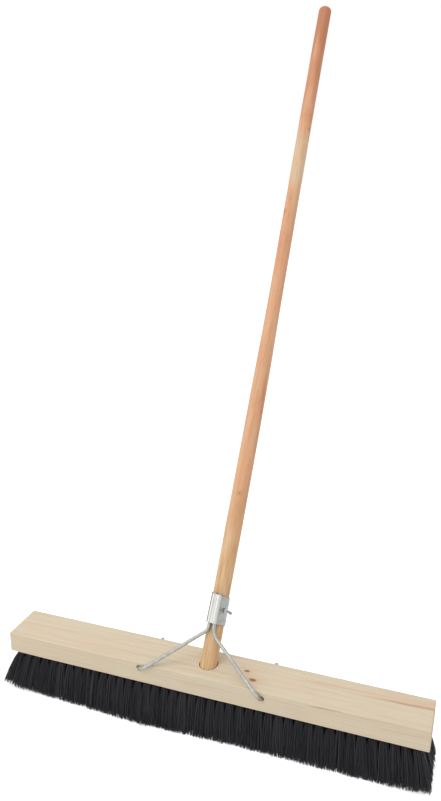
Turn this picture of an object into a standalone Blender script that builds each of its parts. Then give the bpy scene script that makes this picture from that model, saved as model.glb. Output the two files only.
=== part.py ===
"""Push broom: a wooden platform with five rows of bristles, a slanted handle and two wire braces.

Units are metres, +Z is up. The origin lies on the sweeping plane, below the middle of the platform.
+X runs along the platform and +Y points the way the handle leans.
"""

import math

import bmesh
import bpy
from mathutils import Vector

# Platform
BLOCK_LENGTH = 0.600
BLOCK_WIDTH = 0.063
BLOCK_HEIGHT = 0.030
BLOCK_EDGE = 0.0012
RECESS_DEPTH = 0.002
RECESS_RIM = 0.005

# Handle and its socket
HANDLE_LEAN = math.radians(32.15)
HANDLE_OFFSET = 0.001
HANDLE_LENGTH = 1.0935
HANDLE_FOOT_RADIUS = 0.01175
HANDLE_WAIST_RADIUS = 0.0104
HANDLE_GRIP_RADIUS = 0.0109
TAPER_START = 0.38
TAPER_END = 0.57
GRIP_START = 0.82
HANDLE_TOP_ROUND = 0.006
HANDLE_FOOT_CHAMFER = 0.001
SOCKET_DEPTH = 0.020
SOCKET_CLEARANCE = 0.0012

# Brace rods: each leaves the sleeve, runs down to the front of the platform and goes through it
ROD_RADIUS = 0.0025
ROD_SPACING = 0.0072
ROD_TURN = math.radians(-7)
ROD_HOLE_DROP = 0.0065
ROD_TAIL_DROP = 0.0015
ROD_TAIL_BEND = 0.0035
ROD_ELBOW_BEND = 0.0055
ROD_TOP_RISE = 0.0018
ROD_HOLE_X = 0.088
ROD_HOLE_PLAY = 0.002
LEFT_BEND_HEIGHT = 0.0453
LEFT_BEND_RADIUS = 0.012
LEFT_STAND_OFF = 0.0118
RIGHT_BEND_HEIGHT = 0.0404
RIGHT_BEND_RADIUS = 0.020
RIGHT_STAND_OFF = 0.0124

# Sheet-metal sleeve round the handle and both rods; both rims are cut a little askew
SLEEVE_BOTTOM = 0.0538
SLEEVE_LENGTH = 0.0390
SLEEVE_BOTTOM_SKEW = math.radians(4.5)
SLEEVE_TOP_SKEW = math.radians(9)
SHEET = 0.001
FURROW_DEPTH = 0.0005
SEAM_GAP = 0.0015

# Clamp bolt and nut; the bolt goes through a little askew, lower at the nut
BOLT_RADIUS = 0.0018
BOLT_LENGTH = 0.041
BOLT_HEAD_RADIUS = 0.0034
BOLT_HEAD_HEIGHT = 0.0023
BOLT_TURN = math.radians(-31)
BOLT_TILT = math.radians(8)
BOLT_HEIGHT = 0.0754
NUT_FLATS = 0.0060
NUT_HEIGHT = 0.0026

# Bristles
TRIM = 0.061
ROWS = 5
ROW_PITCH = 0.0114
ROW_TIP_PITCH = 0.0152
TUFTS = 43
TUFT_PITCH = 0.0135
TUFT_ROOT = 0.0066
TUFT_SPLIT = 0.0008
TUFT_TIP = 0.0112
STRAND_TIP = 0.0050
LEFT_SPLAY = 0.026
RIGHT_SPLAY = 0.016
SPLAY_REACH = 0.045
SWAY = 0.0005
SWAY_STEP = 2.1

# Clearances between touching pieces
SEAT_GAP = 0.0003

BLOCK_BOTTOM = TRIM
BLOCK_TOP = TRIM + BLOCK_HEIGHT
HANDLE_FOOT = SEAT_GAP - SOCKET_DEPTH
HANDLE_REACH = HANDLE_FOOT + HANDLE_LENGTH
ROD_SEAT = HANDLE_FOOT_RADIUS + SEAT_GAP + ROD_RADIUS
SLEEVE_BORE = HANDLE_FOOT_RADIUS + SEAT_GAP
SLEEVE_TOP = SLEEVE_BOTTOM + SLEEVE_LENGTH

ROUND = 32
SMALL_ROUND = 16
ARC_POINTS = 7


def clear_scene():
    for item in list(bpy.data.objects):
        bpy.data.objects.remove(item, do_unlink=True)


def make_material(name, colour, roughness, metallic=0.0):
    material = bpy.data.materials.new(name)
    material.use_nodes = True
    shader = material.node_tree.nodes["Principled BSDF"]
    shader.inputs["Base Color"].default_value = (*colour, 1.0)
    shader.inputs["Roughness"].default_value = roughness
    shader.inputs["Metallic"].default_value = metallic
    return material


def link(name, data, material=None, parent=None):
    item = bpy.data.objects.new(name, data)
    bpy.context.scene.collection.objects.link(item)
    if material:
        data.materials.append(material)
    item.parent = parent
    return item


def link_bmesh(name, shape, material=None, parent=None, smooth=False):
    bmesh.ops.recalc_face_normals(shape, faces=shape.faces)
    mesh = bpy.data.meshes.new(name)
    shape.to_mesh(mesh)
    shape.free()
    if smooth:
        mesh.shade_smooth()
        mesh.set_sharp_from_angle(angle=math.radians(40))
    return link(name, mesh, material, parent)


def empty(name, location, rotation, parent=None):
    item = link(name, None, parent=parent)
    item.location = location
    item.rotation_euler = rotation
    return item


def box_shape(low, high):
    shape = bmesh.new()
    bmesh.ops.create_cube(shape, size=1.0)
    size = Vector(high) - Vector(low)
    middle = (Vector(high) + Vector(low)) / 2
    bmesh.ops.scale(shape, vec=size, verts=shape.verts)
    bmesh.ops.translate(shape, vec=middle, verts=shape.verts)
    return shape


def turned_shape(profile, segments):
    """Spin (radius, height) points round Z; the first and the last lie on the axis."""
    shape = bmesh.new()
    points = [shape.verts.new((radius, 0.0, height)) for radius, height in profile]
    edges = [shape.edges.new(pair) for pair in zip(points, points[1:])]
    bmesh.ops.spin(
        shape, geom=points + edges, cent=(0, 0, 0), axis=(0, 0, 1),
        angle=math.tau, steps=segments, use_merge=True,
    )
    bmesh.ops.remove_doubles(shape, verts=shape.verts, dist=1e-6)
    return shape


def cylinder_shape(radius, low, high, segments):
    return turned_shape([(0, low), (radius, low), (radius, high), (0, high)], segments)


def cut(target, cutter):
    """Take the cutter out of the target, and keep the cutter as a wire guide."""
    cutter.hide_render = True
    cutter.display_type = "WIRE"
    boolean = target.modifiers.new(cutter.name, "BOOLEAN")
    boolean.operation = "DIFFERENCE"
    boolean.solver = "EXACT"
    boolean.object = cutter


def arc_run(corners, radii):
    """A path through the corners with each inner corner rounded to its radius."""
    path = [corners[0]]
    for before, corner, after, radius in zip(corners, corners[1:], corners[2:], radii):
        back = (before - corner).normalized()
        ahead = (after - corner).normalized()
        half = back.angle(ahead) / 2
        centre = corner + (back + ahead).normalized() * radius / math.sin(half)
        start = corner + back * radius / math.tan(half) - centre
        end = corner + ahead * radius / math.tan(half) - centre
        path += [centre + start.slerp(end, i / (ARC_POINTS - 1)) * radius for i in range(ARC_POINTS)]
    return path + [corners[-1]]


def handle_point(x, forward, height):
    """A point in the handle's frame: across, out of its front and up along its axis."""
    front = Vector((0, -math.cos(HANDLE_LEAN), math.sin(HANDLE_LEAN)))
    axis = Vector((0, math.sin(HANDLE_LEAN), math.cos(HANDLE_LEAN)))
    return Vector((x, HANDLE_OFFSET, BLOCK_TOP)) + front * forward + axis * height


def handle_radius(height):
    """Full at the foot, slimmer from the middle up, with a slight swell at the grip."""
    if height < TAPER_END:
        share = min(max((height - TAPER_START) / (TAPER_END - TAPER_START), 0), 1)
        ends = (HANDLE_FOOT_RADIUS, HANDLE_WAIST_RADIUS)
    else:
        share = min(max((height - GRIP_START) / (HANDLE_REACH - GRIP_START), 0), 1)
        ends = (HANDLE_WAIST_RADIUS, HANDLE_GRIP_RADIUS)
    return ends[0] + (ends[1] - ends[0]) * share * share * (3 - 2 * share)


def make_block(wood):
    half = Vector((BLOCK_LENGTH / 2, BLOCK_WIDTH / 2, 0))
    block = link_bmesh(
        "broom_block",
        box_shape((-half.x, -half.y, BLOCK_BOTTOM), (half.x, half.y, BLOCK_TOP)),
        wood,
    )
    bevel = block.modifiers.new("eased_edges", "BEVEL")
    bevel.width = BLOCK_EDGE
    bevel.segments = 2
    recess_half = half - Vector((RECESS_RIM, RECESS_RIM, 0))
    recess = link_bmesh(
        "bristle_recess",
        box_shape(
            (-recess_half.x, -recess_half.y, BLOCK_BOTTOM - RECESS_DEPTH),
            (recess_half.x, recess_half.y, BLOCK_BOTTOM + RECESS_DEPTH),
        ),
    )
    cut(block, recess)
    return block


def make_handle(block, wood, frame):
    heights = [HANDLE_FOOT + HANDLE_FOOT_CHAMFER, TAPER_START]
    steps = 6
    heights += [TAPER_START + (TAPER_END - TAPER_START) * i / steps for i in range(1, steps + 1)]
    round_start = HANDLE_REACH - HANDLE_TOP_ROUND
    heights += [GRIP_START + (round_start - GRIP_START) * i / steps for i in range(steps + 1)]
    profile = [(0, HANDLE_FOOT), (HANDLE_FOOT_RADIUS - HANDLE_FOOT_CHAMFER, HANDLE_FOOT)]
    profile += [(handle_radius(height), height) for height in heights]
    crown = handle_radius(round_start) - HANDLE_TOP_ROUND
    for i in range(1, steps):
        turn = math.pi / 2 * i / steps
        radius = crown + HANDLE_TOP_ROUND * math.cos(turn)
        profile.append((radius, round_start + HANDLE_TOP_ROUND * math.sin(turn)))
    profile += [(crown, HANDLE_REACH), (0, HANDLE_REACH)]
    handle = link_bmesh("handle", turned_shape(profile, ROUND), wood, frame, smooth=True)
    socket = link_bmesh(
        "handle_socket",
        cylinder_shape(HANDLE_FOOT_RADIUS + SOCKET_CLEARANCE, -SOCKET_DEPTH, BLOCK_HEIGHT, ROUND),
        parent=frame,
    )
    cut(block, socket)
    return handle


def rod_turn(side):
    """Where a rod lies round the handle, by the angle from its front; the pair sits a little to the left."""
    return ROD_TURN + side * math.asin(ROD_SPACING / 2 / ROD_SEAT)


def make_rod(name, side, bend_height, bend_radius, stand_off, block, steel):
    turn = rod_turn(side)
    seat_x = ROD_SEAT * math.sin(turn)
    forward = ROD_SEAT * math.cos(turn)
    hole_x = side * ROD_HOLE_X
    hole_height = BLOCK_TOP - ROD_HOLE_DROP
    tail_y = BLOCK_WIDTH / 2 + ROD_TAIL_BEND
    corners = [
        handle_point(seat_x, forward, SLEEVE_TOP + ROD_TOP_RISE),
        handle_point(seat_x, forward, bend_height),
        Vector((hole_x, -BLOCK_WIDTH / 2 - stand_off, hole_height)),
        Vector((hole_x, tail_y, hole_height)),
        Vector((hole_x, tail_y, BLOCK_TOP - ROD_TAIL_DROP)),
    ]
    path = arc_run(corners, (bend_radius, ROD_ELBOW_BEND, ROD_TAIL_BEND))
    curve = bpy.data.curves.new(name, "CURVE")
    curve.dimensions = "3D"
    curve.bevel_depth = ROD_RADIUS
    curve.bevel_resolution = 4
    curve.use_fill_caps = True
    spline = curve.splines.new("POLY")
    spline.points.add(len(path[1:]))
    for point, place in zip(spline.points, path):
        point.co = (*place, 1.0)
    spline.use_smooth = True
    rod = link(name, curve, steel)
    hole = link_bmesh(
        name + "_hole",
        cylinder_shape(ROD_RADIUS + SEAT_GAP + ROD_HOLE_PLAY / 2, -BLOCK_WIDTH, BLOCK_WIDTH, SMALL_ROUND),
    )
    hole.location = (hole_x + side * ROD_HOLE_PLAY / 2, 0, hole_height)
    hole.rotation_euler = (math.pi / 2, 0, 0)
    cut(block, hole)
    return rod


def sleeve_line():
    """Inner face of the sleeve seen along the handle: tight round the handle and both rods."""
    seam = SEAM_GAP / 2 / SLEEVE_BORE
    steps = 48
    halves = []
    for side in (-1, 1):
        across = rod_turn(side)
        rod = Vector((ROD_SEAT * math.sin(across), -ROD_SEAT * math.cos(across)))
        half = []
        for i in range(steps + 1):
            turn = ROD_TURN + (side * (math.pi - seam) - ROD_TURN) * i / steps
            facing = Vector((math.sin(turn), -math.cos(turn)))
            on_rod = rod + (ROD_RADIUS + SEAT_GAP) * facing
            half.append(max(on_rod, SLEEVE_BORE * facing, key=facing.dot))
        halves.append(half)
    between = (halves[0][0] + halves[1][0]) / 2
    furrow = between - FURROW_DEPTH * between.normalized()
    return halves[0][::-1] + [furrow] + halves[1]


def make_sleeve(steel, frame):
    """One strip bent round the handle and the rods, its ends meeting behind the handle."""
    shape = bmesh.new()
    low = []
    for point in sleeve_line():
        rim = SLEEVE_BOTTOM - math.tan(SLEEVE_BOTTOM_SKEW) * point.x
        low.append(shape.verts.new((point.x, point.y, rim)))
    edges = [shape.edges.new(pair) for pair in zip(low, low[1:])]
    grown = bmesh.ops.extrude_edge_only(shape, edges=edges)["geom"]
    top = [item for item in grown if isinstance(item, bmesh.types.BMVert)]
    for vert in top:
        vert.co.z = SLEEVE_TOP - math.tan(SLEEVE_TOP_SKEW) * vert.co.x
    shape.normal_update()
    for face in shape.faces:
        middle = face.calc_center_median()
        if face.normal.dot(Vector((middle.x, middle.y, 0))) < 0:
            face.normal_flip()
    mesh = bpy.data.meshes.new("clamp_sleeve")
    shape.to_mesh(mesh)
    shape.free()
    mesh.shade_smooth()
    mesh.set_sharp_from_angle(angle=math.radians(40))
    sleeve = link("clamp_sleeve", mesh, steel, frame)
    sheet = sleeve.modifiers.new("sheet", "SOLIDIFY")
    sheet.thickness = SHEET
    sheet.offset = 1.0
    return sleeve


def bolt_seat(radius):
    """Where a round of this radius on the tilted bolt clears the sleeve, from the handle's axis."""
    return (SLEEVE_BORE + SHEET) / math.cos(BOLT_TILT) + radius * math.tan(BOLT_TILT) + SEAT_GAP


def make_bolt(steel, frame):
    seat = -bolt_seat(BOLT_HEAD_RADIUS)
    steps = 5
    profile = [(0, seat - BOLT_HEAD_HEIGHT)]
    for i in range(1, steps + 1):
        turn = math.pi / 2 * i / steps
        profile.append((BOLT_HEAD_RADIUS * math.sin(turn), seat - BOLT_HEAD_HEIGHT * math.cos(turn)))
    chamfer = BOLT_RADIUS / 4
    end = seat + BOLT_LENGTH
    profile += [
        (BOLT_RADIUS, seat),
        (BOLT_RADIUS, end - chamfer),
        (BOLT_RADIUS - chamfer, end),
        (0, end),
    ]
    return link_bmesh("clamp_bolt", turned_shape(profile, SMALL_ROUND), steel, frame, smooth=True)


def make_bolt_holes(handle, sleeve, frame):
    reach = SLEEVE_BORE + 4 * SHEET
    hole = link_bmesh(
        "bolt_hole",
        cylinder_shape(BOLT_RADIUS + SEAT_GAP, -reach, reach, SMALL_ROUND),
        parent=frame,
    )
    cut(handle, hole)
    cut(sleeve, hole)


def make_nut(steel, frame):
    shape = bmesh.new()
    corner = NUT_FLATS / 2 / math.cos(math.pi / 6)
    seat = bolt_seat(corner)
    ring = bmesh.ops.create_circle(shape, cap_ends=True, segments=6, radius=corner)["verts"]
    bmesh.ops.translate(shape, vec=(0, 0, seat), verts=ring)
    grown = bmesh.ops.extrude_face_region(shape, geom=list(shape.faces))["geom"]
    top = [item for item in grown if isinstance(item, bmesh.types.BMVert)]
    bmesh.ops.translate(shape, vec=(0, 0, NUT_HEIGHT), verts=top)
    nut = link_bmesh("clamp_nut", shape, steel, frame)
    hole = link_bmesh(
        "nut_hole",
        cylinder_shape(BOLT_RADIUS + SEAT_GAP, seat - NUT_HEIGHT, seat + 2 * NUT_HEIGHT, SMALL_ROUND),
        parent=frame,
    )
    cut(nut, hole)
    return nut


def splay(x):
    """How far the bristles lean out along the platform: most at its two ends."""
    end = (TUFTS - 1) / 2 * TUFT_PITCH
    left = LEFT_SPLAY * math.exp(-(end + x) / SPLAY_REACH)
    right = RIGHT_SPLAY * math.exp(-(end - x) / SPLAY_REACH)
    return right - left


def make_bristle_row(number, fibre):
    """A strip of the platform's underside with two flat bundles of bristle grown from each tuft hole."""
    place = number - (ROWS + 1) / 2
    root_y = place * ROW_PITCH
    tip_y = place * ROW_TIP_PITCH
    staggered = number % 2 == 0
    count = TUFTS - 1 if staggered else TUFTS
    strands = []
    for tuft in range(count):
        middle = (tuft - (count - 1) / 2) * TUFT_PITCH
        for side in (-1, 1):
            inner = middle + side * TUFT_SPLIT / 2
            outer = middle + side * TUFT_ROOT / 2
            tip = middle + side * TUFT_PITCH / 4
            tip += splay(tip) + SWAY * math.sin(SWAY_STEP * tuft + side + number)
            strands.append((min(inner, outer), max(inner, outer), tip))
    half = BLOCK_LENGTH / 2 - RECESS_RIM - SEAT_GAP
    cuts = [-half] + [edge for strand in strands for edge in strand[:2]] + [half]
    shape = bmesh.new()
    roof = BLOCK_BOTTOM + RECESS_DEPTH - SEAT_GAP
    front = [shape.verts.new((x, root_y - TUFT_ROOT / 2, BLOCK_BOTTOM)) for x in cuts]
    back = [shape.verts.new((x, root_y + TUFT_ROOT / 2, BLOCK_BOTTOM)) for x in cuts]
    cells = [
        shape.faces.new((front[i], back[i], back[i + 1], front[i + 1]))
        for i in range(len(cuts) - 1)
    ]
    roots = cells[1::2]
    grown = bmesh.ops.extrude_face_region(shape, geom=cells, use_keep_orig=True)["geom"]
    top = [item for item in grown if isinstance(item, bmesh.types.BMVert)]
    bmesh.ops.translate(shape, vec=(0, 0, roof - BLOCK_BOTTOM), verts=top)
    tips = bmesh.ops.extrude_discrete_faces(shape, faces=roots)["faces"]
    tips.sort(key=lambda face: face.calc_center_median().x)
    for face, (low, high, tip) in zip(tips, strands):
        root_x = (low + high) / 2
        for vert in face.verts:
            along = 1 if vert.co.x > root_x else -1
            across = 1 if vert.co.y > root_y else -1
            vert.co = (tip + along * STRAND_TIP / 2, tip_y + across * TUFT_TIP / 2, 0)
    return link_bmesh(f"bristle_row_{number}", shape, fibre)


def main():
    clear_scene()
    pine = make_material("pine", (0.73, 0.62, 0.46), 0.6)
    stick = make_material("stick_wood", (0.70, 0.42, 0.24), 0.5)
    zinc = make_material("galvanised_rod", (0.62, 0.63, 0.62), 0.4, 1.0)
    sheet = make_material("galvanised_sheet", (0.70, 0.71, 0.70), 0.35, 1.0)
    bolt_steel = make_material("bolt_steel", (0.50, 0.50, 0.50), 0.4, 1.0)
    fibre = make_material("black_bristle", (0.02, 0.02, 0.022), 0.55)

    handle_frame = empty("handle_frame", (0, HANDLE_OFFSET, BLOCK_TOP), (-HANDLE_LEAN, 0, 0))
    bolt_rotation = (0, math.pi / 2 + BOLT_TILT, BOLT_TURN)
    bolt_frame = empty("bolt_frame", (0, 0, BOLT_HEIGHT), bolt_rotation, handle_frame)
    bpy.context.view_layer.update()

    block = make_block(pine)
    handle = make_handle(block, stick, handle_frame)
    make_rod("left_brace_rod", -1, LEFT_BEND_HEIGHT, LEFT_BEND_RADIUS, LEFT_STAND_OFF, block, zinc)
    make_rod("right_brace_rod", 1, RIGHT_BEND_HEIGHT, RIGHT_BEND_RADIUS, RIGHT_STAND_OFF, block, zinc)
    sleeve = make_sleeve(sheet, handle_frame)
    make_bolt(bolt_steel, bolt_frame)
    make_bolt_holes(handle, sleeve, bolt_frame)
    make_nut(bolt_steel, bolt_frame)
    for number in range(1, ROWS + 1):
        make_bristle_row(number, fibre)


main()
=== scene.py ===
# %% [markdown]
# # A push broom, piece by piece
# The broom is a pine platform with five rows of black tufts, a turned handle that leans back,
# two bent wires that brace it, and a sheet-metal sleeve that clamps wires and handle together
# with one bolt and nut. The packed solids are the frame: each piece made here sits where its
# solid sits and moves with its body, so nothing has to be fitted by eye.

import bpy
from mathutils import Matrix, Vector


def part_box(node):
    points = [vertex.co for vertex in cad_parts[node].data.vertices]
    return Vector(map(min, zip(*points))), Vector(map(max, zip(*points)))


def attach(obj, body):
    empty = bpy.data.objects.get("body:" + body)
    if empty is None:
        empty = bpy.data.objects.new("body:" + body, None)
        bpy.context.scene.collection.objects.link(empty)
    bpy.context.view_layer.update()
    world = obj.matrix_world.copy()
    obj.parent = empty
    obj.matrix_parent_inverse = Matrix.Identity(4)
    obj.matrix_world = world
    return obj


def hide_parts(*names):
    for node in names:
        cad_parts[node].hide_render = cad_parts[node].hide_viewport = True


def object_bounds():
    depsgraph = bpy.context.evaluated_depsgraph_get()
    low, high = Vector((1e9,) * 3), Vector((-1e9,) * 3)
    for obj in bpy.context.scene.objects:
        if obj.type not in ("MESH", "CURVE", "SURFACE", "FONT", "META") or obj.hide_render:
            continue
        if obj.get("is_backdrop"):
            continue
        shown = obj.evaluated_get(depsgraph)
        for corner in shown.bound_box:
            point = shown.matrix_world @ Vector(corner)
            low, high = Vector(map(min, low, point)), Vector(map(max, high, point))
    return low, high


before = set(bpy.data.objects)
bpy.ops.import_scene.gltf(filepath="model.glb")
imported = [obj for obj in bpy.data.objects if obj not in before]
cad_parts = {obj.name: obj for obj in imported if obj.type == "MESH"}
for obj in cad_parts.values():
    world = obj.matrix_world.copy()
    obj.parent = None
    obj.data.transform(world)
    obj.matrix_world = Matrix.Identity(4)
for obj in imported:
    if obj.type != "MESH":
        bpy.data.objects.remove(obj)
cad_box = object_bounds()
print("solids:", ", ".join(sorted(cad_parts)))

# %% [markdown]
# ## Sizes that several pieces share
# A joiner works from one cutting list, and so does this file. The lengths are in metres.
# The origin lies on the floor below the middle of the platform, +X runs along the platform,
# +Y points the way the handle leans and +Z is up. Places on the handle are measured along it from
# the platform's top. The wires were pressed on a little askew, so their turns, in degrees round the
# handle from its front, are given twice: at the sleeve's foot and at its top.

# %% The cutting list
import math

import bmesh
import bpy
import numpy as np
from mathutils import Euler, Matrix, Vector, noise

BLOCK_LENGTH = 0.600
BLOCK_WIDTH = 0.063
BLOCK_HEIGHT = 0.030
TRIM = 0.061
BLOCK_BOTTOM = TRIM
BLOCK_TOP = TRIM + BLOCK_HEIGHT

HANDLE_LEAN = math.radians(32.15)
HANDLE_OFFSET = 0.001
HANDLE_FOOT_RADIUS = 0.01175
SOCKET_DEPTH = 0.020
SEAT_GAP = 0.0003

ROD_RADIUS = 0.0025
ROD_ENDS = {
    "left": [(-0.0781, -0.0362, 0.0912), (-0.0905, -0.0348, 0.0840), (-0.0845, 0.0350, 0.0840)],
    "right": [(0.0766, -0.0360, 0.0921), (0.0850, -0.0350, 0.0810), (0.0868, 0.0350, 0.0825)],
}
ROD_SEAT = HANDLE_FOOT_RADIUS + SEAT_GAP + ROD_RADIUS
ROD_TURNS = {"left": (-21.3, -16.5), "right": (9.0, 11.5)}

SLEEVE_BOTTOM = 0.0538
SLEEVE_LENGTH = 0.0390
SLEEVE_TOP = SLEEVE_BOTTOM + SLEEVE_LENGTH
SLEEVE_BORE = HANDLE_FOOT_RADIUS + SEAT_GAP
SHEET = 0.001
BOLT_RADIUS = 0.0018

ROWS = 5
ROW_PITCH = 0.0114
TUFTS = 43
TUFT_PITCH = 0.0135

print(f"platform {BLOCK_LENGTH * 1000:.0f} x {BLOCK_WIDTH * 1000:.0f} x {BLOCK_HEIGHT * 1000:.0f} mm")

# %% [markdown]
# ## Two tilted frames
# The handle, its sleeve and the clamp bolt are easiest to draw upright. Each is drawn along its
# own Z axis and then carried into place by a matrix: one for the leaning handle, and one for the
# bolt that crosses it a little askew. The wood grain can then follow the handle's own axis too.

# %% The handle's frame and the bolt's frame
HANDLE_FRAME = (
    Matrix.Translation((0, HANDLE_OFFSET, BLOCK_TOP)) @ Matrix.Rotation(-HANDLE_LEAN, 4, "X")
)
BOLT_HEIGHT = 0.0754
BOLT_TURN = math.radians(-31)
BOLT_TILT = math.radians(8)
BOLT_FRAME = (
    HANDLE_FRAME
    @ Matrix.Translation((0, 0, BOLT_HEIGHT))
    @ Euler((0, math.pi / 2 + BOLT_TILT, BOLT_TURN)).to_matrix().to_4x4()
)
print("bolt crosses the handle at", [round(value, 4) for value in BOLT_FRAME.translation])

# %% [markdown]
# ## The camera
# The picture is upright, so the lens length counts along its height. The camera stands to the
# right of the handle, a little above half its height, and looks down along the platform.

# %% Place the camera
camera_data = bpy.data.cameras.new("picture_camera")
camera_data.lens = 34.05
camera_data.sensor_width = 36.0
camera = bpy.data.objects.new("picture_camera", camera_data)
bpy.context.scene.collection.objects.link(camera)
camera.location = (0.32012, -0.82844, 0.74070)
view_line = Vector((-0.32810, 0.89816, -0.29267))
camera.rotation_euler = view_line.to_track_quat("-Z", "Y").to_euler()
bpy.context.scene.camera = camera
bpy.context.scene.view_settings.view_transform = "Standard"
print("camera looks along", [round(value, 3) for value in view_line])

# %% [markdown]
# ## Arithmetic on sockets
# Procedural finishes are sums and products of textures. Wiring them one node at a time hides the
# idea, so a small class wraps an output socket and lets Python's operators add the Math nodes.
# Every other node comes from its one method, `node`: the type, the settings, then the sockets.

# %% The socket class
class Flow:
    """An output socket that takes part in sums: every operator adds one Math node."""

    def __init__(self, tree, socket):
        self.tree = tree
        self.socket = socket

    def node(self, kind, settings, sockets, output=0):
        made = self.tree.nodes.new(kind)
        for name, value in settings.items():
            if name == "stops":
                self.set_stops(made.color_ramp.elements, value)
            else:
                setattr(made, name, value)
        for name, value in sockets.items():
            if isinstance(value, Flow):
                self.tree.links.new(value.socket, made.inputs[name])
            else:
                made.inputs[name].default_value = value
        return Flow(self.tree, made.outputs[output])

    @staticmethod
    def set_stops(elements, stops):
        while len(elements) < len(stops):
            elements.new(1.0)
        for element, (position, colour) in zip(elements, stops):
            element.position = position
            element.color = colour

    def maths(self, operation, *values):
        return self.node("ShaderNodeMath", {"operation": operation}, dict(enumerate(values)))

    def __add__(self, other):
        return self.maths("ADD", self, other)

    def __sub__(self, other):
        return self.maths("SUBTRACT", self, other)

    def __rsub__(self, other):
        return self.maths("SUBTRACT", other, self)

    def __mul__(self, other):
        return self.maths("MULTIPLY", self, other)

    def __truediv__(self, other):
        return self.maths("DIVIDE", self, other)

    def __pow__(self, other):
        return self.maths("POWER", self, other)

    def __abs__(self):
        return self.maths("ABSOLUTE", self)

    __radd__ = __add__
    __rmul__ = __mul__


print("operators ready:", [name for name in vars(Flow) if name.startswith("__") and name != "__init__"])

# %% [markdown]
# ## Words for finishes
# A few short functions give names to what every finish needs: a colour as a painter would note
# it, a stretched noise for grain, a soft step for an edge, a mix of two colours and a bump.

# %% Helpers for finishes
def paint(red, green, blue):
    """A display colour from 0 to 255, turned into the linear values that shaders use."""
    shown = np.array((red, green, blue)) / 255
    linear = np.where(shown <= 0.04045, shown / 12.92, ((shown + 0.055) / 1.055) ** 2.4)
    return (*linear.tolist(), 1.0)


def start_finish(name):
    """A new material, its shader and a flow of the piece's own coordinates."""
    material = bpy.data.materials.new(name)
    material.use_nodes = True
    tree = material.node_tree
    coordinates = tree.nodes.new("ShaderNodeTexCoord")
    return material, tree.nodes["Principled BSDF"], Flow(tree, coordinates.outputs["Object"])


def axis_of(place, number):
    return place.node("ShaderNodeSeparateXYZ", {}, {0: place}, number)


def stretch(place, scale):
    return place.node("ShaderNodeVectorMath", {"operation": "MULTIPLY"}, {0: place, 1: scale})


def cloud(place, scale, detail=2.0):
    """Noise from 0 to 1 whose patches are one over the scale long on each axis."""
    sockets = {"Vector": stretch(place, scale), "Scale": 1.0, "Detail": detail}
    return place.node("ShaderNodeTexNoise", {}, sockets)


def soft_step(value, low, high):
    sockets = {"Value": value, "From Min": low, "From Max": high}
    return value.node("ShaderNodeMapRange", {"interpolation_type": "SMOOTHSTEP"}, sockets)


def blend(share, first, second):
    """A colour between the first and the second; the Mix node's colour sockets go by number."""
    return share.node("ShaderNodeMix", {"data_type": "RGBA"}, {0: share, 6: first, 7: second}, 2)


def distance_to(place, spot):
    return place.node("ShaderNodeVectorMath", {"operation": "DISTANCE"}, {0: place, 1: spot}, "Value")


def bump(height, depth):
    return height.node("ShaderNodeBump", {}, {"Strength": 1.0, "Distance": depth, "Height": height})


def feed(shader, **flows):
    """Link flows to the shader's sockets, named with underscores for spaces."""
    for name, flow in flows.items():
        flow.tree.links.new(flow.socket, shader.inputs[name.replace("_", " ")])


print("a mid grey of 128 is written as", round(paint(128, 128, 128)[0], 3))

# %% [markdown]
# ## Light and ground
# A broom for a catalogue stands on white under soft light. The sky gives an even light from all
# sides, a broad lamp above and a weaker one at the left model the forms, and the floor is pale.
# White comes from what the camera and shiny metal see, through the Light Path node, so that the
# light on the broom stays at a plain level and its colours render as they are written.

# %% The sky
SKY_LIGHT = 0.78
SEEING_RAYS = ("Is Camera Ray", "Is Glossy Ray", "Is Transmission Ray")


def seen_directly(start):
    """1 for rays of the camera, of shiny metal and through glass, else 0."""
    rays = [start.node("ShaderNodeLightPath", {}, {}, name) for name in SEEING_RAYS]
    return start.maths("MINIMUM", rays[0] + rays[1] + rays[2], 1.0)


world = bpy.data.worlds.new("studio")
world.use_nodes = True
bpy.context.scene.world = world
sky = world.node_tree.nodes["Background"]
sky.inputs["Color"].default_value = (1.0, 1.0, 1.0, 1.0)
sky_flow = Flow(world.node_tree, sky.outputs[0])
feed(sky, Strength=SKY_LIGHT + (1 - SKY_LIGHT) * seen_directly(sky_flow))
print("sky light on the broom:", SKY_LIGHT)

# %% The lamps
LAMP_AIM = Vector((0.0, 0.0, 0.3))


def hang_lamp(name, spot, size, power):
    """A square soft box that points at the broom."""
    data = bpy.data.lights.new(name, "AREA")
    data.shape = "SQUARE"
    data.size = size
    data.energy = power
    lamp = bpy.data.objects.new(name, data)
    bpy.context.scene.collection.objects.link(lamp)
    lamp.location = spot
    lamp.rotation_euler = (LAMP_AIM - Vector(spot)).to_track_quat("-Z", "Y").to_euler()
    print(f"{name} {(LAMP_AIM - Vector(spot)).length:.2f} m away, {power:.0f} W")


hang_lamp("top_lamp", (-1.7, -1.4, 4.3), 3.4, 50.0)
hang_lamp("side_lamp", (-2.0, -2.7, 1.9), 2.8, 18.0)

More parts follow.
